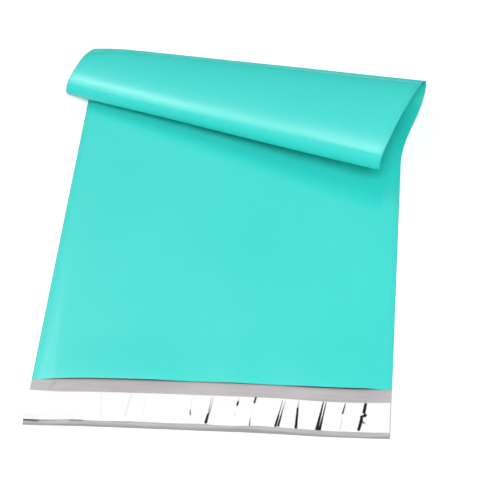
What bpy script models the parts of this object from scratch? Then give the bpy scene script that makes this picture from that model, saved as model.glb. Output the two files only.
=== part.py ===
"""A poly mailer bag lying on its back, flap open, with its closed end rolled up and over.

Metres, +Z up. The origin is the middle of the mouth line, on the surface the bag lies on.
+X runs across the bag, +Y from the mouth to the closed end.
"""

from math import atan, atan2, cos, exp, hypot, radians, sin, tan

import bmesh
import bpy
import numpy as np
from mathutils import Quaternion, Vector

# The bag as cut and welded, before it is rolled
BAG_WIDTH = 0.250
BAG_LENGTH = 0.375  # mouth line to bottom fold
FLAP_LENGTH = 0.0378  # how far the back panel runs on past the mouth
FILM = 0.0001  # thickness of one wall
SEAM_WIDTH = 0.004  # welded band along each side edge
BOTTOM_CREASE = 0.002  # pressed band along the bottom fold
POCKET_GAP = 0.0005  # how far the two walls stand apart
GAP_EASE = 0.012  # distance over which the walls part, in from a seam or crease
MOUTH_LIFT = 0.0012  # how much higher the front panel stands at its free edge
MOUTH_REACH = 0.030  # how far in from the mouth that lift dies out

# The closure on the inside of the flap
LINER_WIDTH = 0.0232
LINER_MARGIN = 0.0042  # bare film between the liner and the flap's end
LINER_OVERHANG = 0.003  # how far the liner's left end stands out past the film
LINER_INSET = 0.0006  # how far its right end stops short of the film's edge
LINER_THICKNESS = 0.0001
ADHESIVE_THICKNESS = 0.00015
ADHESIVE_BORDER = 0.0025  # liner that shows past the adhesive on every side
STACK_CLEARANCE = 0.00005  # air between film, adhesive and liner

# The roll: a cone that the closed end is bent around, whose straight lines meet at a tip
TIP_OUT = 0.218  # the tip lies this far left of the bag's left edge
TIP_SHORT = 0.022  # and this far short of the bottom fold's line
ROLL_START = radians(18.7)  # slant of the line where the film leaves the floor
FOLD_RADIUS = 0.0063  # tightest bend of the back of the roll, at the left edge
FOLD_PLACE = 0.332  # where that bend lies, as a share of the roll's length
FOLD_SPREAD = 0.100
ROOF_RADIUS = 0.085  # how the roof of the roll arches, at the left edge
LIP_RADIUS = 0.0069  # tightest bend of the lip that curls down, at the left edge
LIP_PLACE = 0.766  # where the lip starts to curl
DRIFT_LEFT = 0.0028  # how far the rolled film has slid to the right
DRIFT_RIGHT = 0.0237
DRIFT_PLACE = 0.6  # share of the roll over which it slides

# How finely the film is divided
ROLL_ROWS = 42
INNER_COLUMNS = 5
BEND_STEPS = 240

EDGE = BAG_WIDTH / 2
TIP = Vector((-EDGE - TIP_OUT, BAG_LENGTH - TIP_SHORT, 0))
ROLL_SPAN = ROLL_START + atan(TIP_SHORT / TIP_OUT)


def eased(share):
    share = min(max(share, 0.0), 1.0)
    return share * share * (3 - 2 * share)


def bend_at(share):
    """How sharply the film bends, at a share of the roll's length."""
    fold = exp(-(((share - FOLD_PLACE) / FOLD_SPREAD) ** 2)) * TIP_OUT / FOLD_RADIUS
    roof = eased(share / FOLD_PLACE) * TIP_OUT / ROOF_RADIUS
    lip = max(share - LIP_PLACE, 0) / (1 - LIP_PLACE)
    return fold + roof + lip**1.5 * TIP_OUT / LIP_RADIUS


def roll_frames():
    """The direction from the tip, and the film's upper normal, along the roll."""
    along = Vector((cos(ROLL_START), -sin(ROLL_START), 0))
    normal = Vector((0, 0, 1))
    frames = [(along.copy(), normal.copy())]
    for step in range(BEND_STEPS):
        spin = along * bend_at((step + 0.5) / BEND_STEPS) + normal
        turn = Quaternion(spin.normalized(), spin.length * ROLL_SPAN / BEND_STEPS)
        along.rotate(turn)
        normal.rotate(turn)
        frames.append((along.copy(), normal.copy()))
    return frames


FRAMES = roll_frames()


def film_point(x, y, height):
    """Where a point of the flat bag, at a height above its back, lies once it is rolled."""
    angle = atan2(y - TIP.y, x - TIP.x) + ROLL_START
    if angle <= 0:
        return Vector((x, y, height))
    place = min(angle / ROLL_SPAN, 1) * BEND_STEPS
    step = min(int(place), BEND_STEPS - 1)
    along = FRAMES[step][0].lerp(FRAMES[step + 1][0], place - step).normalized()
    normal = FRAMES[step][1].lerp(FRAMES[step + 1][1], place - step).normalized()
    across = (x + EDGE) / BAG_WIDTH
    slide = DRIFT_LEFT + (DRIFT_RIGHT - DRIFT_LEFT) * across
    slide *= eased(angle / ROLL_START / DRIFT_PLACE)
    return TIP + along * hypot(x - TIP.x, y - TIP.y) + normal * height + Vector((slide, 0, 0))


def roll_shares():
    """Row places up the roll, closer together where the film bends more."""
    middles = (np.arange(BEND_STEPS) + 0.5) / BEND_STEPS
    bend = np.array([bend_at(share) for share in middles])
    weight = np.cumsum(np.append(0, bend / bend.mean() + 0.5))
    return np.interp(np.linspace(0, weight[-1], ROLL_ROWS + 1), weight, np.linspace(0, 1, BEND_STEPS + 1))


def row_lines():
    """For each row, its distance from the mouth at the left and at the right edge."""
    start = [TIP.y - (x - TIP.x) * tan(ROLL_START) for x in (-EDGE, EDGE)]
    end = BAG_LENGTH - BOTTOM_CREASE
    rows = [(-FLAP_LENGTH, -FLAP_LENGTH), (0, 0)]
    rows += [(MOUTH_REACH * share, MOUTH_REACH * share) for share in (1 / 3, 2 / 3, 1)]
    rows += [tuple(s + (end - s) * share for s in start) for share in roll_shares()]
    rows.append((BAG_LENGTH, BAG_LENGTH))
    return rows


def column_places():
    weld = EDGE - SEAM_WIDTH
    parted = weld - GAP_EASE
    inner = [float(x) for x in np.linspace(-parted, parted, INNER_COLUMNS + 1)]
    return [-EDGE, -weld, *inner, weld, EDGE]


def gap_at(x, y):
    """How far the front panel stands off the back panel."""
    to_seam = EDGE - SEAM_WIDTH - abs(x)
    to_crease = BAG_LENGTH - BOTTOM_CREASE - y
    lift = MOUTH_LIFT * (1 - eased(y / MOUTH_REACH))
    return (POCKET_GAP + lift) * eased(to_seam / GAP_EASE) * eased(to_crease / GAP_EASE)


def painted(name, colour, roughness):
    material = bpy.data.materials.new(name)
    material.use_nodes = True
    shader = material.node_tree.nodes["Principled BSDF"]
    shader.inputs["Base Color"].default_value = (*colour, 1)
    shader.inputs["Roughness"].default_value = roughness
    shader.inputs["Metallic"].default_value = 0
    return material


def film_bag(collection):
    """One web of film: back panel with its flap, bottom fold, and front panel welded on at the sides."""
    rows, columns = row_lines(), column_places()
    last_row, last_column = len(rows) - 1, len(columns) - 1
    mouth, crease = 1, last_row - 1
    mesh = bmesh.new()
    corners = {}

    def corner(layer, row, column):
        # The inner faces meet along the welds and the bottom crease, so they share their corners there
        welded = column in (0, 1, last_column - 1, last_column) or row >= crease
        if layer == "front inside" and welded:
            layer = "back inside"
        key = (layer, row, column)
        if key not in corners:
            x = columns[column]
            left, right = rows[row]
            y = left + (right - left) * (x + EDGE) / BAG_WIDTH
            gap = gap_at(x, y)
            heights = {
                "back outside": 0,
                "back inside": FILM,
                "front inside": FILM + gap,
                "front outside": 2 * FILM + gap,
            }
            corners[key] = mesh.verts.new(film_point(x, y, heights[layer]))
        return corners[key]

    def face(keys, inside=False):
        mesh.faces.new([corner(*key) for key in keys]).material_index = int(inside)

    def skin(layer, row_range, column_range):
        for row in row_range:
            for column in column_range:
                steps = ((0, 0), (0, 1), (1, 1), (1, 0))
                face([(layer, row + i, column + j) for i, j in steps], "inside" in layer)

    def wall(low, high, path):
        for (row_a, column_a), (row_b, column_b) in zip(path, path[1:]):
            face([(low, row_a, column_a), (low, row_b, column_b), (high, row_b, column_b), (high, row_a, column_a)])

    every_row, every_column = range(last_row), range(last_column)
    skin("back outside", every_row, every_column)
    skin("back inside", range(mouth), every_column)
    skin("back inside", range(mouth, crease), range(1, last_column - 1))
    skin("front inside", range(mouth, crease), range(1, last_column - 1))
    skin("front outside", range(mouth, last_row), every_column)
    down_left = [(row, 0) for row in range(last_row + 1)]
    down_right = [(row, last_column) for row in range(last_row + 1)]
    flap_end = [(0, column) for column in range(last_column + 1)]
    mouth_edge = [(mouth, column) for column in range(last_column + 1)]
    bottom_edge = [(last_row, column) for column in range(last_column + 1)]
    for path in (down_left, down_right, flap_end, bottom_edge):
        wall("back outside", "back inside", path)
    for path in (down_left[mouth:], down_right[mouth:], bottom_edge):
        wall("back inside", "front outside", path)
    wall("front inside", "front outside", mouth_edge)

    bmesh.ops.recalc_face_normals(mesh, faces=mesh.faces)
    data = bpy.data.meshes.new("film_bag")
    mesh.to_mesh(data)
    mesh.free()
    data.materials.append(painted("turquoise film", (0.10, 0.80, 0.74), 0.35))
    data.materials.append(painted("grey film inside", (0.54, 0.51, 0.52), 0.5))
    data.shade_smooth()
    data.set_sharp_from_angle(angle=radians(40))
    collection.objects.link(bpy.data.objects.new("film_bag", data))


def strip(name, low, high, material):
    """A flat band between two opposite corners."""
    low, high = Vector(low), Vector(high)
    bpy.ops.mesh.primitive_cube_add(size=1, location=(low + high) / 2)
    band = bpy.context.object
    band.name = band.data.name = name
    band.scale = high - low
    bpy.ops.object.transform_apply(location=False, rotation=False, scale=True)
    band.data.materials.append(material)


def closure():
    """The adhesive band on the inside of the flap, and the liner that covers it."""
    near = -FLAP_LENGTH + LINER_MARGIN
    far = near + LINER_WIDTH
    left, right = -EDGE - LINER_OVERHANG, EDGE - LINER_INSET
    foot = FILM + STACK_CLEARANCE
    top = foot + ADHESIVE_THICKNESS
    strip(
        "adhesive_strip",
        (-EDGE + ADHESIVE_BORDER, near + ADHESIVE_BORDER, foot),
        (right - ADHESIVE_BORDER, far - ADHESIVE_BORDER, top),
        painted("clear hot-melt adhesive", (0.80, 0.78, 0.70), 0.25),
    )
    foot = top + STACK_CLEARANCE
    strip(
        "release_liner",
        (left, near, foot),
        (right, far, foot + LINER_THICKNESS),
        painted("glossy white liner", (0.90, 0.90, 0.90), 0.15),
    )


def main():
    for thing in list(bpy.data.objects):
        bpy.data.objects.remove(thing, do_unlink=True)
    collection = bpy.data.collections.new("poly_mailer_bag")
    bpy.context.scene.collection.children.link(collection)
    layer = bpy.context.view_layer.layer_collection.children[collection.name]
    bpy.context.view_layer.active_layer_collection = layer
    film_bag(collection)
    closure()


main()
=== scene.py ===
# The looks of a poly mailer bag: it lies on its back, the flap open, the closed end rolled up and over.
# Metres. +X runs across the bag, +Y from the mouth to the bottom fold, +Z up.

from math import atan, cos, exp, pi, radians, sin, tan

import bmesh
import bpy
import numpy as np
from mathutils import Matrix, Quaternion, Vector


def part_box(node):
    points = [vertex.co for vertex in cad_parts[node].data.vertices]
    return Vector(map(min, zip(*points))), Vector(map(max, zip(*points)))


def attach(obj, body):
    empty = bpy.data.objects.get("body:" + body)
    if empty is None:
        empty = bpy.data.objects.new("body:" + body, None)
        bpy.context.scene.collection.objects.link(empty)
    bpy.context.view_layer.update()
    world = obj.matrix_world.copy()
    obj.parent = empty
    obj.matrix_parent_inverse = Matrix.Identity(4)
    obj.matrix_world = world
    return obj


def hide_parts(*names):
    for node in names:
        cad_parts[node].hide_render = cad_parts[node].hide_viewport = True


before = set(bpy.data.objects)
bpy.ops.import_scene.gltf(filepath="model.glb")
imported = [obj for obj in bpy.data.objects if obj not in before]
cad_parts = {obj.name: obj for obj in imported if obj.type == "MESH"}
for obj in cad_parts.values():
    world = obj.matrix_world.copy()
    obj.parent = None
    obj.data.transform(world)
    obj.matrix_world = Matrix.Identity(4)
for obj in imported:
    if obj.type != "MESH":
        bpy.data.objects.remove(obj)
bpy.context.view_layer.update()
print("frame:", ", ".join(sorted(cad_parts)))


# Shader sums


class Wire:
    # One socket's value, so that sums on it read as Python
    def __init__(self, nodes, socket):
        self.nodes = nodes
        self.socket = socket

    def maths(self, operation, *values):
        return self.nodes.node("ShaderNodeMath", {"operation": operation}, dict(enumerate(values)))

    def __add__(self, other):
        return self.maths("ADD", self, other)

    def __sub__(self, other):
        return self.maths("SUBTRACT", self, other)

    def __rsub__(self, other):
        return self.maths("SUBTRACT", other, self)

    def __mul__(self, other):
        return self.maths("MULTIPLY", self, other)

    def __abs__(self):
        return self.maths("ABSOLUTE", self)

    __radd__ = __add__
    __rmul__ = __mul__


class Nodes:
    # The node tree of a material or of the world
    def __init__(self, owner):
        owner.use_nodes = True
        self.owner = owner
        self.tree = owner.node_tree

    def feed(self, socket, value):
        if isinstance(value, Wire):
            self.tree.links.new(value.socket, socket)
        else:
            socket.default_value = value

    def node(self, kind, settings=None, sockets=None, output=0):
        made = self.tree.nodes.new(kind)
        for name, value in (settings or {}).items():
            setattr(made, name, value)
        for name, value in (sockets or {}).items():
            self.feed(made.inputs[name], value)
        return Wire(self, made.outputs[output])

    def shader(self, values):
        for name, value in values.items():
            self.feed(self.tree.nodes["Principled BSDF"].inputs[name], value)

    def blend(self, share, first, second):
        # A colour between two others
        return self.node("ShaderNodeMix", {"data_type": "RGBA"}, {0: share, 6: first, 7: second}, 2)

    def step(self, value, start, end):
        # 0 before start, 1 after end, and smooth between them
        sockets = {0: value, 1: start, 2: end, 3: 0, 4: 1}
        return self.node("ShaderNodeMapRange", {"interpolation_type": "SMOOTHSTEP"}, sockets)

    def noise(self, place, stretch, detail=2.0):
        # Unevenness from 0 to 1, with so many waves a metre along each axis
        spread = self.node("ShaderNodeVectorMath", {"operation": "MULTIPLY"}, {0: place, 1: stretch})
        return self.node("ShaderNodeTexNoise", {}, {"Vector": spread, "Scale": 1.0, "Detail": detail})

    def stroke(self, place, start, end, halfWidth):
        # 1 on a straight stroke from one point of the flat pattern to another, 0 beside it
        run = Vector(end) - Vector(start)
        away = self.node("ShaderNodeVectorMath", {"operation": "SUBTRACT"}, {0: place, 1: (*start, 0)})
        ahead = self.dot(away, (*(run / run.length_squared), 0))
        aside = abs(self.dot(away, (-run.y / run.length, run.x / run.length, 0)))
        return self.step(aside, halfWidth, 0) * self.step(abs(ahead - 0.5), 0.62, 0.38)

    def dot(self, first, second):
        return self.node("ShaderNodeVectorMath", {"operation": "DOT_PRODUCT"}, {0: first, 1: second}, 1)

    def bump(self, height, distance):
        return self.node("ShaderNodeBump", {}, {"Height": height, "Distance": distance, "Strength": 1.0})


def shade(red, green, blue):
    return (red, green, blue, 1.0)


# The film's flat pattern and the way it is rolled, as in the part itself

film = {
    "width": 0.250,
    "length": 0.375,  # mouth line to bottom fold
    "wall": 0.0001,
    "seam": 0.004,  # welded band along each side edge
    "crease": 0.002,  # pressed band along the bottom fold
    "pocket": 0.0005,  # how far the two walls stand apart
    "ease": 0.012,  # distance over which they part
    "mouthSlant": 0.0024,  # how far out of square the mouth is cut
    "flapSlant": 0.0032,  # and the flap's end
    "slantReach": 0.060,  # how far in from the mouth that shows
    "tipOut": 0.218,  # the roll's straight lines meet this far left of the bag
    "tipShort": 0.022,  # and this far short of the bottom fold's line
    "rollStart": radians(18.7),
    "foldRadius": 0.0063,
    "foldPlace": 0.332,
    "foldSpread": 0.100,
    "roofRadius": 0.085,
    "lipRadius": 0.0069,
    "lipPlace": 0.766,
    "driftLeft": 0.0028,
    "driftRight": 0.0237,
    "driftPlace": 0.6,
    "bendSteps": 960,
    "ripple": 0.00012,  # unevenness of the rolled film
    "rippleStart": 0.3,  # share of the roll over which it sets in
    "swell": 0.00025,  # how much the front panel billows
    "mouthGap": 0.0003,  # how far the mouth stands open all along
    "droop": 0.0024,  # how far the roll's left edge hangs inwards at the back
    "droopReach": 0.030,
    "droopPlace": 0.42,  # share of the roll where it hangs furthest
    "droopSpan": 0.11,
    "tuck": 0.0064,  # how far the bottom fold curls in under the roll
    "tuckReach": 0.0105,
    "tuckAtLeft": 0.3,  # share of the tuck that the left edge has
    "tuckGrowth": 0.110,  # distance over which it grows to the whole
    "flapRows": 26,
    "mouthRows": 20,
    "panelRows": 46,
    "rollRows": 112,
    "rowEvenness": 0.7,  # the larger, the more evenly the roll's rows are spaced
    "seamColumns": 3,
    "easeColumns": 5,
    "innerColumns": 60,
}

# Where the front panel's free edge arches up: place across, half width and height.
# The arches die out at mouthReach from the mouth
mouthArches = [
    (-0.090, 0.025, 0.0011),
    (-0.045, 0.027, 0.0014),
    (0.018, 0.017, 0.0007),
    (0.070, 0.018, 0.0013),
    (0.100, 0.020, 0.0016),
]
mouthReach = 0.045

# Where the mouth and the flap run low of a straight cut: place across, half width and depth
mouthDips = [
    (-0.124, 0.030, 0.0016),
    (0.092, 0.042, 0.0018),
]
dipFade = 0.5  # share of a dip that is gone at the flap's end

# The open flap: it lies loosely, and its very end curls down again
flap = {
    "rise": 0.0015,
    "unevenness": 0.35,
    "crest": 0.86,  # where it stands highest, as a share of its length
    "endDrop": 0.75,
    "endSpan": 0.16,
    "lowSides": 0.5,  # how much flatter it lies towards its sides
    "lowFrom": 0.040,
    "lowOver": 0.080,
    "wave": 0.00015,
    "creaseStart": (-0.1072, -0.0014),  # a faint fold across its corner
    "creaseEnd": (-0.1117, -0.0078),
    "creaseHeight": 0.00022,
    "creaseWidth": 0.0009,
}

edge = film["width"] / 2
flapLength = -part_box("film_bag")[0].y
tip = Vector((-edge - film["tipOut"], film["length"] - film["tipShort"], 0))
rollSpan = film["rollStart"] + atan(film["tipShort"] / film["tipOut"])


def eased(share):
    share = np.clip(share, 0, 1)
    return share * share * (3 - 2 * share)


def hump(place, middle, halfWidth):
    return np.exp(-(((place - middle) / halfWidth) ** 2))


def unevenness(x, y, wave, seed):
    # Smooth and repeatable, from about -1 to 1, with swells about a wave apart
    chance = np.random.default_rng(seed)
    total = np.zeros(np.broadcast(x, y).shape)
    for _ in range(7):
        heading = chance.uniform(0, pi)
        spacing = wave * chance.uniform(0.7, 1.7)
        start = chance.uniform(0, 2 * pi)
        total += np.sin((x * cos(heading) + y * sin(heading)) * 2 * pi / spacing + start)
    return total / 4


def bendAt(share):
    # How sharply the film bends, at a share of the way from the roll's start to the bottom fold
    fold = exp(-(((share - film["foldPlace"]) / film["foldSpread"]) ** 2))
    fold = fold * film["tipOut"] / film["foldRadius"]
    roof = float(eased(share / film["foldPlace"])) * film["tipOut"] / film["roofRadius"]
    lip = max(share - film["lipPlace"], 0) / (1 - film["lipPlace"])
    return fold + roof + lip**1.5 * film["tipOut"] / film["lipRadius"]


def rollFrames():
    # The direction from the tip and the film's upper normal, at each step of the roll
    steps = film["bendSteps"]
    along = Vector((cos(film["rollStart"]), -sin(film["rollStart"]), 0))
    normal = Vector((0, 0, 1))
    alongs = [along.copy()]
    normals = [normal.copy()]
    for step in range(steps):
        spin = along * bendAt((step + 0.5) / steps) + normal
        turn = Quaternion(spin.normalized(), spin.length * rollSpan / steps)
        along.rotate(turn)
        normal.rotate(turn)
        alongs.append(along.copy())
        normals.append(normal.copy())
    return np.array(alongs), np.array(normals)


rollAlongs, rollNormals = rollFrames()


def between(rows, place):
    step = np.minimum(place.astype(int), film["bendSteps"] - 1)
    share = (place - step)[..., None]
    mixed = rows[step] * (1 - share) + rows[step + 1] * share
    return mixed / np.linalg.norm(mixed, axis=-1, keepdims=True)


def filmPoints(x, y, height):
    # Where points of the flat bag lie once it is rolled, at a height above its back
    angle = np.arctan2(y - tip.y, x - tip.x) + film["rollStart"]
    place = np.clip(angle / rollSpan, 0, 1) * film["bendSteps"]
    across = (x + edge) / film["width"]
    slide = film["driftLeft"] + (film["driftRight"] - film["driftLeft"]) * across
    slide = slide * eased(angle / film["rollStart"] / film["driftPlace"])
    reach = np.hypot(x - tip.x, y - tip.y)
    rolled = np.array(tip) + between(rollAlongs, place) * reach[..., None]
    rolled += between(rollNormals, place) * height[..., None]
    rolled[..., 0] += slide
    return np.where((angle > 0)[..., None], rolled, np.stack([x, y, height], axis=-1))


def cutSlant(x, y):
    # The mouth and the flap are cut slightly out of square, and the mouth not quite straight
    downFlap = np.clip(-y / flapLength, 0, 1)
    inPanel = film["mouthSlant"] * eased(1 - y / film["slantReach"])
    onFlap = (film["flapSlant"] - film["mouthSlant"]) * downFlap
    dips = sum(depth * hump(x, middle, halfWidth) for middle, halfWidth, depth in mouthDips)
    dips = dips * np.where(y > 0, 1 - eased(y / mouthReach), 1 - dipFade * downFlap**6)
    return -(inPanel + onFlap) * x / film["width"] - dips


def strokeDistance(x, y, start, end):
    # How far points lie from a straight stroke, and how far along it
    run = np.array(end) - np.array(start)
    away = np.stack([x - start[0], y - start[1]], axis=-1)
    along = np.clip((away @ run) / (run @ run), 0, 1)
    return np.linalg.norm(away - along[..., None] * run, axis=-1), along


def flapLift(x, y):
    # How far the flap, and what is stuck to it, stands off the floor
    towardsEnd = np.clip(-y / flapLength, 0, 1.2)
    rise = flap["rise"] * (1 + flap["unevenness"] * unevenness(x, y * 0, 0.110, 21))
    rise = rise * (1 - flap["lowSides"] * eased((np.abs(x) - flap["lowFrom"]) / flap["lowOver"]))
    drop = flap["endDrop"] * eased((towardsEnd - flap["crest"]) / flap["endSpan"])
    profile = eased(towardsEnd / flap["crest"]) - drop
    wave = flap["wave"] * (1 + unevenness(x, y, 0.045, 22)) * eased(towardsEnd * 2.5)
    away, _ = strokeDistance(x, y, flap["creaseStart"], flap["creaseEnd"])
    crease = flap["creaseHeight"] * (1 - eased(away / flap["creaseWidth"]))
    return np.maximum(rise * profile + wave + crease, 0)


def panelGap(x, y):
    # How far the front panel stands off the back panel
    arches = sum(height * hump(x, middle, halfWidth) for middle, halfWidth, height in mouthArches)
    arches = (film["mouthGap"] + arches) * (1 - eased(y / mouthReach))
    swell = film["swell"] * (1 + unevenness(x, y, 0.120, 5)) * eased(y / mouthReach)
    toSeam = eased((edge - film["seam"] - np.abs(x)) / film["ease"])
    toCrease = eased((film["length"] - film["crease"] - y) / film["ease"])
    return (film["pocket"] + arches + swell) * toSeam * toCrease


def rollRipple(x, y):
    # The rolled film is slightly uneven; its left edge hangs inwards and the bottom fold is tucked in
    share = (np.arctan2(y - tip.y, x - tip.x) + film["rollStart"]) / rollSpan
    ripple = film["ripple"] * unevenness(x, y, 0.070, 8) * eased(share / film["rippleStart"])
    atEdge = np.clip(1 - (x + edge) / film["droopReach"], 0, 1) ** 2
    droop = film["droop"] * atEdge * hump(share, film["droopPlace"], film["droopSpan"])
    atFold = np.clip(1 - (film["length"] - y) / film["tuckReach"], 0, 1) ** 2
    growth = film["tuckAtLeft"] + (1 - film["tuckAtLeft"]) * eased((x + edge) / film["tuckGrowth"])
    return ripple + droop + film["tuck"] * atFold * growth


def spaced(start, end, count):
    return [start + (end - start) * step / count for step in range(1, count + 1)]


def rowLines():
    # Each row's distance from the mouth, at the left and at the right edge.
    # The rows lie closer together where the film bends
    middles = (np.arange(film["bendSteps"]) + 0.5) / film["bendSteps"]
    bend = np.array([bendAt(share) for share in middles])
    weight = np.cumsum(np.append(0, bend / bend.mean() + film["rowEvenness"]))
    wanted = np.linspace(0, weight[-1], film["rollRows"] + 1)
    rollShares = np.interp(wanted, weight, np.linspace(0, 1, film["bendSteps"] + 1))
    straight = [-flapLength] + spaced(-flapLength, 0, film["flapRows"])
    straight += spaced(0, mouthReach, film["mouthRows"])
    rows = [(y, y) for y in straight]
    start = [tip.y - (x - tip.x) * tan(film["rollStart"]) for x in (-edge, edge)]
    for share in spaced(0, 1, film["panelRows"]):
        rows.append(tuple(mouthReach + (s - mouthReach) * share for s in start))
    end = film["length"] - film["crease"]
    rows += [tuple(s + (end - s) * share for s in start) for share in rollShares[1:]]
    rows.append((film["length"], film["length"]))
    return np.array(rows)


def columnPlaces():
    # Places across the bag, closer together at the welded edges
    weld = edge - film["seam"]
    parted = weld - film["ease"]
    inner = spaced(-parted, parted, film["innerColumns"])
    left = [-edge] + spaced(-edge, -weld, film["seamColumns"]) + spaced(-weld, -parted, film["easeColumns"])
    right = spaced(parted, weld, film["easeColumns"]) + spaced(weld, edge, film["seamColumns"])
    return np.array(left + inner + right)


def skin(index, rows, columns):
    # Four-cornered faces over part of a grid of point numbers
    part = index[rows[0] : rows[1] + 1, columns[0] : columns[1] + 1]
    return np.stack([part[:-1, :-1], part[:-1, 1:], part[1:, 1:], part[1:, :-1]], axis=-1).reshape(-1, 4)


def wall(low, high):
    # Faces that join two lines of point numbers
    return np.stack([low[:-1], low[1:], high[1:], high[:-1]], axis=-1).reshape(-1, 4)


sharpFrom = radians(40)  # edges sharper than this keep their crease


def newPiece(name, points, faces, flat, finishes, finishOf=None, creaseStrength=None):
    # One closed mesh; flat holds each point's place on the flat pattern, for the finish to read
    used, faces = np.unique(faces, return_inverse=True)
    faces = faces.reshape(-1, 4)
    mesh = bpy.data.meshes.new(name)
    mesh.from_pydata(points[used].tolist(), [], faces.tolist())
    for finish in finishes:
        mesh.materials.append(finish)
    if finishOf is not None:
        mesh.polygons.foreach_set("material_index", finishOf.astype(np.int32))
    mesh.attributes.new("flat", "FLOAT_VECTOR", "POINT").data.foreach_set("vector", flat[used].ravel())
    if creaseStrength is not None:
        mesh.attributes.new("creaseStrength", "FLOAT", "POINT").data.foreach_set("value", creaseStrength[used].ravel())
    shaping = bmesh.new()
    shaping.from_mesh(mesh)
    bmesh.ops.recalc_face_normals(shaping, faces=shaping.faces)
    shaping.to_mesh(mesh)
    shaping.free()
    mesh.shade_smooth()
    mesh.set_sharp_from_angle(angle=sharpFrom)
    piece = bpy.data.objects.new(name, mesh)
    bpy.context.scene.collection.objects.link(piece)
    print(f"{name}: {len(mesh.vertices)} points, {2 * len(mesh.polygons)} triangles")
    return piece


# The bag, one web of film


def filmBag(finishes):
    # Four grids of points: the back wall's outer and inner face, then the front wall's
    rows = rowLines()
    columns = columnPlaces()
    lastRow = len(rows) - 1
    lastColumn = len(columns) - 1
    mouth = film["flapRows"]
    crease = lastRow - 1
    weld = film["seamColumns"]
    x = np.broadcast_to(columns, (lastRow + 1, lastColumn + 1))
    y = rows[:, :1] + (rows[:, 1:] - rows[:, :1]) * (columns + edge) / film["width"]
    lift = flapLift(x, y) + rollRipple(x, y)
    gap = panelGap(x, y)
    sides = [np.stack([x, y, np.full_like(x, side)], axis=-1).reshape(-1, 3) for side in (0, 1)]
    flat = np.concatenate([sides[0], sides[0], sides[1], sides[1]])
    y = y + cutSlant(x, y)
    heights = [lift, lift + film["wall"], lift + film["wall"] + gap, lift + 2 * film["wall"] + gap]
    points = np.concatenate([filmPoints(x, y, height).reshape(-1, 3) for height in heights])
    numbers = np.arange(len(points)).reshape(4, lastRow + 1, lastColumn + 1)
    backOut, backIn, frontIn, frontOut = numbers
    welded = np.zeros(backIn.shape, bool)
    welded[:, : weld + 1] = True
    welded[:, lastColumn - weld :] = True
    welded[crease:] = True
    frontIn = np.where(welded, backIn, frontIn)
    whole = (0, lastColumn)
    pocket = (weld, lastColumn - weld)
    outside = [
        skin(backOut, (0, lastRow), whole),
        skin(frontOut, (mouth, lastRow), whole),
        wall(backOut[-1], backIn[-1]),
        wall(backIn[-1], frontOut[-1]),
    ]
    cut = [
        wall(backOut[mouth:, 0], backIn[mouth:, 0]),
        wall(backOut[mouth:, -1], backIn[mouth:, -1]),
        wall(backIn[mouth:, 0], frontOut[mouth:, 0]),
        wall(backIn[mouth:, -1], frontOut[mouth:, -1]),
        wall(frontIn[mouth], frontOut[mouth]),
    ]
    inside = [
        wall(backOut[: mouth + 1, 0], backIn[: mouth + 1, 0]),
        wall(backOut[: mouth + 1, -1], backIn[: mouth + 1, -1]),
        wall(backOut[0], backIn[0]),
        skin(backIn, (0, mouth), whole),
        skin(backIn, (mouth, crease), pocket),
        skin(frontIn, (mouth, crease), pocket),
    ]
    faces = np.concatenate(outside + inside + cut)
    finishOf = np.repeat([0, 1, 2], [sum(map(len, part)) for part in (outside, inside, cut)])
    return newPiece("mailer_film", points, faces, flat, finishes, finishOf)


turquoise = {
    "deep": shade(0.031, 0.680, 0.615),
    "pale": shade(0.042, 0.715, 0.648),
    "seam": shade(0.014, 0.520, 0.460),
    "edge": shade(0.010, 0.330, 0.300),  # partly the cut where the welding bar has gone through, partly painted shade that gives the side edges a dark outline
    "weldBlur": 0.0004,
    "beadAndRimShade": 0.0011,  # melted bead along the cut; this band also carries the painted dark outline
    "roughness": 0.21,
    "gloss": 0.50,
    "grazing": 0.70,  # how much rougher the film looks where it is seen nearly edge on
    "streakDepth": 0.0000012,
    "grainDepth": 0.000003,
    "puckerDepth": 0.00001,  # in the welded band
}


def turquoiseFilm():
    nodes = Nodes(bpy.data.materials.new("turquoise film"))
    place = nodes.node("ShaderNodeAttribute", {"attribute_name": "flat"}, output=1)
    across = abs(nodes.node("ShaderNodeSeparateXYZ", {}, {0: place}))
    clouds = nodes.noise(place, (9, 7, 3))
    streaks = nodes.noise(place, (420, 5, 3))
    grain = nodes.noise(place, (1500, 1500, 3), 1.0)
    weld = edge - film["seam"]
    seam = nodes.step(across, weld - turquoise["weldBlur"], weld + turquoise["weldBlur"])
    beadAndRimShade = nodes.step(across, edge - turquoise["beadAndRimShade"], edge - 0.0004)
    puckers = nodes.noise(place, (500, 1100, 3), 1.0)
    tone = nodes.step(clouds * 0.8 + streaks * 0.2, 0.2, 0.8)
    colour = nodes.blend(tone, turquoise["deep"], turquoise["pale"])
    colour = nodes.blend(seam * 0.12, colour, turquoise["seam"])
    # Painted shade: a dark outline along the side edges, over the melted bead
    colour = nodes.blend(beadAndRimShade * 0.4, colour, turquoise["edge"])
    facing = nodes.node("ShaderNodeLayerWeight", {}, {"Blend": 0.5}, 1)
    grazing = nodes.step(facing, 0.50, 0.85) * turquoise["grazing"]
    height = streaks * turquoise["streakDepth"] + grain * turquoise["grainDepth"]
    height = height + seam * (puckers - 1) * turquoise["puckerDepth"]
    welded = seam * 0.03 + beadAndRimShade * 0.2
    nodes.shader({
        "Base Color": colour,
        "Roughness": turquoise["roughness"] + (grain - 0.5) * 0.06 + welded + grazing,
        "Specular IOR Level": turquoise["gloss"],
        "Normal": nodes.bump(height, 1.0),
    })
    return nodes.owner


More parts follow.
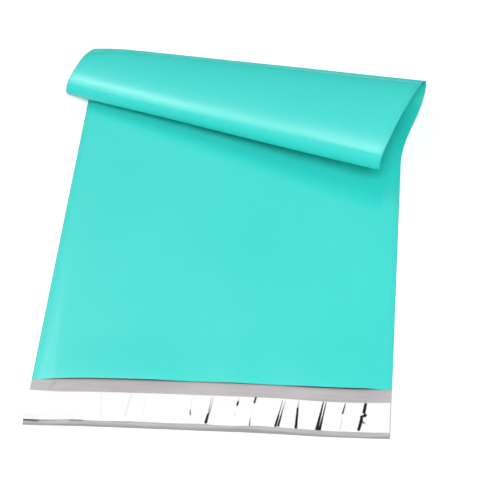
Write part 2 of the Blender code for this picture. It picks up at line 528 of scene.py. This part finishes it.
def cutEdge():
    nodes = Nodes(bpy.data.materials.new("cut film edge"))
    place = nodes.node("ShaderNodeAttribute", {"attribute_name": "flat"}, output=1)
    melt = nodes.noise(place, (900, 900, 3))
    nodes.shader({
        # Painted shade: the cut faces take the same dark outline colour
        "Base Color": nodes.blend(melt * 0.4, turquoise["edge"], turquoise["seam"]),
        "Roughness": 0.6 + (melt - 0.5) * 0.2,
        "Specular IOR Level": 0.1,
        "Normal": nodes.bump(melt * 0.00002, 1.0),
    })
    return nodes.owner


grey = {
    "deep": shade(0.430, 0.404, 0.416),
    "pale": shade(0.525, 0.500, 0.510),
    "warm": shade(0.520, 0.455, 0.478),
    "inside": shade(0.030, 0.050, 0.052),  # painted shade over the pocket's inside, from just before the mouth line inwards
    "endShade": shade(0.215, 0.205, 0.210),  # painted shade on the flap's very end, where it curls down away from the light
    # painted shade along the faint fold across the flap's corner
    "foldShade": shade(0.330, 0.310, 0.320),
    "shadow": shade(0.060, 0.057, 0.060),  # under the liner where it has come loose
    "roughness": 0.42,
    "gloss": 0.35,
    "streakDepth": 0.00002,
    "grainDepth": 0.000004,
    "endShadeFrom": 0.0036,  # how far from the flap's end the painted shade sets in
    "wearTo": 0.0002,
    "foldWidth": 0.0022,
}

# Shadows on the flap where the liner's lower edge has come loose: two points, half width and strength
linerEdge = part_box("release_liner")[0].y
looseEnds = [
    ((-0.1290, linerEdge + 0.0002), (-0.1140, linerEdge - 0.0005), 0.0019, 0.95),
    ((-0.1160, linerEdge - 0.0004), (-0.1020, linerEdge - 0.0003), 0.0012, 0.35),
    ((-0.0930, linerEdge - 0.0001), (-0.0830, linerEdge), 0.0013, 0.60),
    ((-0.0640, linerEdge - 0.0001), (-0.0480, linerEdge - 0.0003), 0.0010, 0.25),
]


def greyFilm():
    nodes = Nodes(bpy.data.materials.new("grey film inside"))
    place = nodes.node("ShaderNodeAttribute", {"attribute_name": "flat"}, output=1)
    clouds = nodes.noise(place, (22, 60, 3))
    blush = nodes.noise(place, (30, 160, 3))
    streaks = nodes.noise(place, (16, 700, 3))
    grain = nodes.noise(place, (1400, 1400, 3), 1.0)
    tone = nodes.step(clouds * 0.6 + streaks * 0.4, 0.3, 0.7)
    colour = nodes.blend(tone, grey["deep"], grey["pale"])
    colour = nodes.blend(nodes.step(blush, 0.52, 0.75) * 0.5, colour, grey["warm"])
    along = nodes.node("ShaderNodeSeparateXYZ", {}, {0: place}, 1)
    # Painted shade: the flap's end darkens towards its edge, where the film curls down away from the light
    ragged = along + (streaks - 0.5) * 0.006
    wear = nodes.step(ragged, grey["endShadeFrom"] - flapLength, grey["wearTo"] - flapLength)
    colour = nodes.blend(wear * 0.75, colour, grey["endShade"])
    # Painted shade along the faint fold across the flap's corner
    fold = nodes.stroke(place, flap["creaseStart"], flap["creaseEnd"], grey["foldWidth"])
    colour = nodes.blend(fold * 0.5, colour, grey["foldShade"])
    for start, end, halfWidth, strength in looseEnds:
        colour = nodes.blend(nodes.stroke(place, start, end, halfWidth) * strength, colour, grey["shadow"])
    # Painted shade: the pocket's inside, from just before the mouth line inwards, is darkened as if in shadow
    colour = nodes.blend(nodes.step(along, -0.0004, 0.0012), colour, grey["inside"])
    nodes.shader({
        "Base Color": colour,
        "Roughness": grey["roughness"] + (grain - 0.5) * 0.08,
        "Specular IOR Level": grey["gloss"],
        "Normal": nodes.bump(streaks * grey["streakDepth"] + grain * grey["grainDepth"], 1.0),
    })
    return nodes.owner


bag = filmBag([turquoiseFilm(), greyFilm(), cutEdge()])
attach(bag, "root")
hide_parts("film_bag")


# The closure on the flap


def grid(left, right, band):
    # Places across a band, and shares of the way from one long edge to the other
    across = np.linspace(left, right, band["columns"] + 1)
    return np.meshgrid(across, np.linspace(0, 1, band["rows"] + 1), indexing="ij")


def slab(name, x, y, low, high, finish, creaseStrength=None):
    # A thin band between two grids of heights
    under = np.stack([x, y, low], axis=-1).reshape(-1, 3)
    over = np.stack([x, y, high], axis=-1).reshape(-1, 3)
    bottom, top = np.arange(2 * x.size).reshape(2, *x.shape)
    last = (x.shape[0] - 1, x.shape[1] - 1)
    faces = [skin(bottom, (0, last[0]), (0, last[1])), skin(top, (0, last[0]), (0, last[1]))]
    for side in (np.s_[0, :], np.s_[-1, :], np.s_[:, 0], np.s_[:, -1]):
        faces.append(wall(bottom[side], top[side]))
    flat = np.concatenate([under, over]) * (1, 1, 0)
    doubled = None if creaseStrength is None else np.concatenate([creaseStrength.ravel(), creaseStrength.ravel()])
    return newPiece(name, np.concatenate([under, over]), np.concatenate(faces), flat, [finish], None, doubled)


adhesive = {
    "columns": 240,
    "rows": 14,
    "edgeWave": 0.0005,  # how unevenly its edges run
    "colour": shade(0.78, 0.75, 0.66),
    "milky": shade(0.86, 0.84, 0.78),
}


def meltFinish():
    nodes = Nodes(bpy.data.materials.new("hot-melt adhesive"))
    place = nodes.node("ShaderNodeAttribute", {"attribute_name": "flat"}, output=1)
    ropes = nodes.noise(place, (40, 900, 1))
    drops = nodes.noise(place, (500, 500, 1))
    nodes.shader({
        "Base Color": nodes.blend(ropes, adhesive["colour"], adhesive["milky"]),
        "Roughness": 0.18 + drops * 0.15,
        "Normal": nodes.bump(ropes * 0.00004 + drops * 0.00002, 1.0),
    })
    return nodes.owner


def adhesiveBand():
    low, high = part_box("adhesive_strip")
    x, share = grid(low.x, high.x, adhesive)
    near = low.y + adhesive["edgeWave"] * unevenness(x, x * 0, 0.012, 31)
    far = high.y + adhesive["edgeWave"] * unevenness(x, x * 0, 0.012, 32)
    y = near + (far - near) * share
    lift = flapLift(x, y)
    return slab("adhesive_band", x, y + cutSlant(x, y), low.z + lift, high.z + lift, meltFinish())


liner = {
    "columns": 1000,
    "rows": 26,
    "depth": 0.0232,
    "edgeWave": 0.00035,
    "ridge": 0.00030,  # height of a full-strength crease
    "topInset": 0.0013,  # how far short of the full overhang the liner's left end stops, at the top
    "bottomInset": 0.0022,
    "cornerRise": 0.0014,  # how much further up its left end reaches
    "cornerReach": 0.030,
    "stand": 0.00015,  # how far the lower edge stands off
    "standFrom": 0.75,  # share of the way down where it lets go
    "white": shade(0.94, 0.94, 0.94),
    # painted shade and dark reflection in the creases
    "shadow": shade(0.004, 0.004, 0.005),
    "gloss": 0.15,
    "roughness": 0.18,
}

# Where the lower edge has come loose: place across, half width and height
linerLoose = [
    (-0.118, 0.010, 0.0008),
    (-0.087, 0.008, 0.0005),
]

# Creases: place across in mm and share of the way down the liner, at the start and at the end of each
# stroke, then its width in mm and its strength at both ends
linerCreases = [
    ((-74.1, 0.01), (-71.1, 0.89), (1.8, 1.8), (0.16, 0.20)),
    ((-52.5, 0.06), (-54.5, 0.81), (1.6, 2.4), (0.20, 0.22)),
    ((-42.5, 0.11), (-42.5, 0.76), (1.6, 1.6), (0.17, 0.17)),
    ((-10.2, 0.08), (-10.3, 0.54), (1.0, 1.0), (0.16, 0.24)),
    ((-10.2, 0.55), (-9.9, 0.70), (0.7, 0.9), (0.75, 0.85)),
    ((-10.0, 0.71), (-9.6, 0.92), (1.2, 1.2), (0.18, 0.12)),
    ((3.1, 0.08), (2.2, 0.67), (0.7, 0.9), (0.40, 0.65)),
    ((4.6, 0.08), (2.9, 0.67), (0.7, 0.9), (0.35, 0.65)),
    ((2.2, 0.67), (1.4, 0.95), (1.6, 2.1), (0.95, 1.00)),
    ((20.4, 0.02), (21.2, 0.20), (0.6, 0.7), (0.12, 0.30)),
    ((21.9, 0.02), (22.0, 0.20), (0.6, 0.8), (0.22, 0.60)),
    ((21.6, 0.21), (21.3, 0.31), (1.5, 1.3), (0.95, 0.90)),
    ((20.5, 0.42), (20.4, 0.64), (1.0, 1.1), (0.06, 0.35)),
    ((20.4, 0.65), (19.8, 0.82), (1.4, 1.8), (0.10, 0.04)),
    ((33.5, 0.00), (32.8, 0.20), (1.3, 1.5), (0.95, 0.90)),
    ((32.5, 0.23), (31.1, 0.76), (0.8, 0.8), (0.17, 0.20)),
    ((31.2, 0.77), (31.2, 0.99), (0.8, 1.1), (0.55, 0.70)),
    ((51.9, 0.07), (50.0, 0.62), (0.7, 1.0), (0.50, 0.85)),
    ((50.0, 0.62), (48.6, 0.97), (1.3, 1.7), (0.90, 1.00)),
    ((53.7, 0.07), (51.7, 0.62), (0.7, 1.0), (0.40, 0.85)),
    ((51.7, 0.62), (50.5, 0.96), (1.2, 1.5), (0.85, 1.00)),
    ((62.8, 0.01), (62.5, 0.31), (1.2, 1.3), (0.28, 0.50)),
    ((62.5, 0.31), (62.4, 0.99), (1.4, 1.9), (0.90, 1.00)),
    ((79.4, 0.02), (77.9, 0.50), (0.9, 1.5), (0.85, 1.00)),
    ((77.9, 0.50), (76.3, 0.99), (1.5, 2.3), (1.00, 1.00)),
    ((81.3, 0.02), (79.8, 0.50), (0.8, 1.0), (0.70, 0.95)),
    ((79.8, 0.50), (78.2, 0.99), (1.0, 2.0), (0.95, 1.00)),
    ((94.3, 0.02), (92.8, 0.38), (0.9, 1.2), (0.65, 0.90)),
    ((92.7, 0.52), (91.6, 0.94), (1.4, 1.4), (0.22, 0.28)),
    ((107.8, 0.04), (107.0, 0.32), (2.0, 2.3), (1.00, 1.00)),
    ((105.4, 0.48), (107.9, 0.42), (2.0, 2.4), (1.00, 1.00)),
    ((105.6, 0.56), (104.1, 0.92), (2.2, 2.2), (1.00, 1.00)),
    ((105.3, 0.62), (108.2, 0.71), (2.0, 0.9), (1.00, 0.55)),
]


def creaseStrokes(x, share):
    # How dark and how raised the liner is, from the distance to each stroke
    deep = np.zeros_like(x)
    down = share * liner["depth"]
    for (startX, startShare), (endX, endShare), widths, strengths in linerCreases:
        start = (startX / 1000, startShare * liner["depth"])
        end = (endX / 1000, endShare * liner["depth"])
        distance, along = strokeDistance(x, down, start, end)
        halfWidth = (widths[0] + (widths[1] - widths[0]) * along) / 2000
        strength = strengths[0] + (strengths[1] - strengths[0]) * along
        deep = np.maximum(deep, strength * (1 - eased((distance / halfWidth - 0.55) / 0.8)))
    return deep


def linerFinish():
    nodes = Nodes(bpy.data.materials.new("glossy liner"))
    place = nodes.node("ShaderNodeAttribute", {"attribute_name": "flat"}, output=1)
    creaseStrength = nodes.node("ShaderNodeAttribute", {"attribute_name": "creaseStrength"}, output=2)
    crackle = nodes.noise(place, (700, 260, 1))
    haze = nodes.noise(place, (60, 30, 1))
    rough = nodes.noise(place, (1600, 1600, 1), 1.0)
    # Painted shade and dark reflection in the creases, where the glossy liner folds
    dark = nodes.step(creaseStrength + (crackle - 0.5) * creaseStrength * 0.5, 0.05, 0.85)
    nodes.shader({
        "Base Color": nodes.blend(dark, liner["white"], liner["shadow"]),
        "Specular IOR Level": liner["gloss"],
        "Roughness": liner["roughness"] + creaseStrength * 0.25 + (rough - 0.5) * 0.04,
        "Coat Weight": (0.1 + haze * 0.1) * (1 - dark),
        "Normal": nodes.bump(haze * 0.00004 + crackle * creaseStrength * 0.00006, 1.0),
    })
    return nodes.owner


def releaseLiner():
    low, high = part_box("release_liner")
    x, share = grid(low.x, high.x, liner)
    near = low.y + liner["edgeWave"] * unevenness(x, x * 0, 0.028, 41)
    far = high.y + 0.3 * liner["edgeWave"] * unevenness(x, x * 0, 0.060, 42)
    corner = 1 - eased((x - low.x) / liner["cornerReach"])
    far = far + liner["cornerRise"] * corner
    y = far + (near - far) * share
    inset = liner["topInset"] + (liner["bottomInset"] - liner["topInset"]) * share
    x = x + inset * corner
    deep = creaseStrokes(x, share)
    loose = sum(height * hump(x, middle, halfWidth) for middle, halfWidth, height in linerLoose)
    loose = (loose + liner["stand"]) * eased((share - liner["standFrom"]) / (1 - liner["standFrom"]))
    lift = flapLift(x, y) + loose + liner["ridge"] * deep
    return slab("liner_film", x, y + cutSlant(x, y), low.z + lift, high.z + lift, linerFinish(), deep)


band = adhesiveBand()
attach(band, "root")
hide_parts("adhesive_strip")

strip = releaseLiner()
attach(strip, "root")
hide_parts("release_liner")


# Floor, light and camera

studio = {
    "floorSize": 8.0,
    "floorDrop": 0.0002,  # air under the film, so that no two faces share a place
    "floorColour": shade(0.86, 0.86, 0.86),
    "floorGlow": 0.26,
    "fill": 0.22,  # the room's light on the object
    "horizon": 0.1,  # how bright the room's far side looks in the gloss
    "middle": Vector((0, 0.15, 0)),  # what the softboxes face
}

# Softboxes: azimuth, elevation, distance, width, height, watts, and what each one lights
softboxes = {
    "key": (167, 60, 2.5, 1.6, 1.2, 54.0, "all"),
    "rim": (-43, 55, 2.5, 0.9, 0.9, 10.0, "diffuse"),
    "sheenRight": (-34, 65, 6.0, 1.0, 1.0, 20.5, "gloss"),
    "sheenMiddle": (-49, 53, 6.0, 1.2, 1.2, 20.0, "gloss"),
    "sheenLeft": (-65, 50, 6.0, 2.4, 2.4, 46.0, "gloss"),
}


def paleFloor():
    half = studio["floorSize"] / 2
    outline = ((-half, -half), (half, -half), (half, half), (-half, half))
    mesh = bpy.data.meshes.new("floor")
    mesh.from_pydata([(x, y, -studio["floorDrop"]) for x, y in outline], [], [(0, 1, 2, 3)])
    nodes = Nodes(bpy.data.materials.new("pale floor"))
    nodes.tree.nodes.remove(nodes.tree.nodes["Principled BSDF"])
    path = nodes.node("ShaderNodeLightPath").socket.node
    seen = Wire(nodes, path.outputs["Is Camera Ray"]) + Wire(nodes, path.outputs["Is Glossy Ray"])
    seen = seen + Wire(nodes, path.outputs["Is Transmission Ray"])
    lit = nodes.node("ShaderNodeBsdfDiffuse", {}, {"Color": studio["floorColour"]})
    glow = nodes.node("ShaderNodeEmission", {}, {"Strength": seen * studio["floorGlow"]})
    both = nodes.node("ShaderNodeAddShader", {}, {0: lit, 1: glow})
    nodes.feed(nodes.tree.nodes["Material Output"].inputs["Surface"], both)
    mesh.materials.append(nodes.owner)
    floor = bpy.data.objects.new("floor", mesh)
    bpy.context.scene.collection.objects.link(floor)


def paleWorld():
    world = bpy.data.worlds.new("studio")
    bpy.context.scene.world = world
    nodes = Nodes(world)
    path = nodes.node("ShaderNodeLightPath").socket.node
    place = nodes.node("ShaderNodeTexCoord")
    up = nodes.node("ShaderNodeSeparateXYZ", {}, {0: place}, 2)
    ceiling = nodes.step(up, 0.2, 0.8) * (1 - studio["horizon"]) + studio["horizon"]
    glossy = Wire(nodes, path.outputs["Is Glossy Ray"])
    seen = Wire(nodes, path.outputs["Is Camera Ray"]) + glossy * ceiling
    seen = seen + Wire(nodes, path.outputs["Is Transmission Ray"])
    light = nodes.tree.nodes["Background"].inputs
    nodes.feed(light["Color"], shade(1, 1, 1))
    nodes.feed(light["Strength"], studio["fill"] + seen * (1 - studio["fill"]))


def heading(azimuth, elevation):
    # Azimuth 0 points along +Y and grows towards +X
    flat = cos(radians(elevation))
    return Vector((sin(radians(azimuth)) * flat, cos(radians(azimuth)) * flat, sin(radians(elevation))))


def softbox(name, azimuth, elevation, distance, width, height, watts, lights):
    lamp = bpy.data.lights.new(name, "AREA")
    lamp.shape = "RECTANGLE"
    lamp.size = width
    lamp.size_y = height
    lamp.energy = watts
    towards = heading(azimuth, elevation)
    box = bpy.data.objects.new(name, lamp)
    box.location = studio["middle"] + towards * distance
    box.rotation_euler = towards.to_track_quat("Z", "Y").to_euler()
    box.visible_camera = False
    box.visible_diffuse = lights != "gloss"
    box.visible_glossy = lights != "diffuse"
    bpy.context.scene.collection.objects.link(box)


view = {
    "place": (0.1631, -0.5282, 0.8730),
    "azimuth": -12.729,
    "elevation": 53.0,
    "roll": -9.514,
    "lens": 108.09,
    "sensor": 36.0,
}


def camera():
    data = bpy.data.cameras.new("camera")
    data.lens = view["lens"]
    data.sensor_width = view["sensor"]
    data.clip_start = 0.01
    eye = bpy.data.objects.new("camera", data)
    forward = heading(view["azimuth"], -view["elevation"])
    eye.rotation_mode = "QUATERNION"
    eye.rotation_quaternion = Quaternion(-forward, radians(view["roll"])) @ forward.to_track_quat("-Z", "Y")
    eye.location = view["place"]
    bpy.context.scene.collection.objects.link(eye)
    bpy.context.scene.camera = eye


paleFloor()
paleWorld()
for name, settings in softboxes.items():
    softbox(name, *settings)
camera()
bpy.context.scene.view_settings.view_transform = "Standard"
print("stage: floor, world, softboxes and camera")
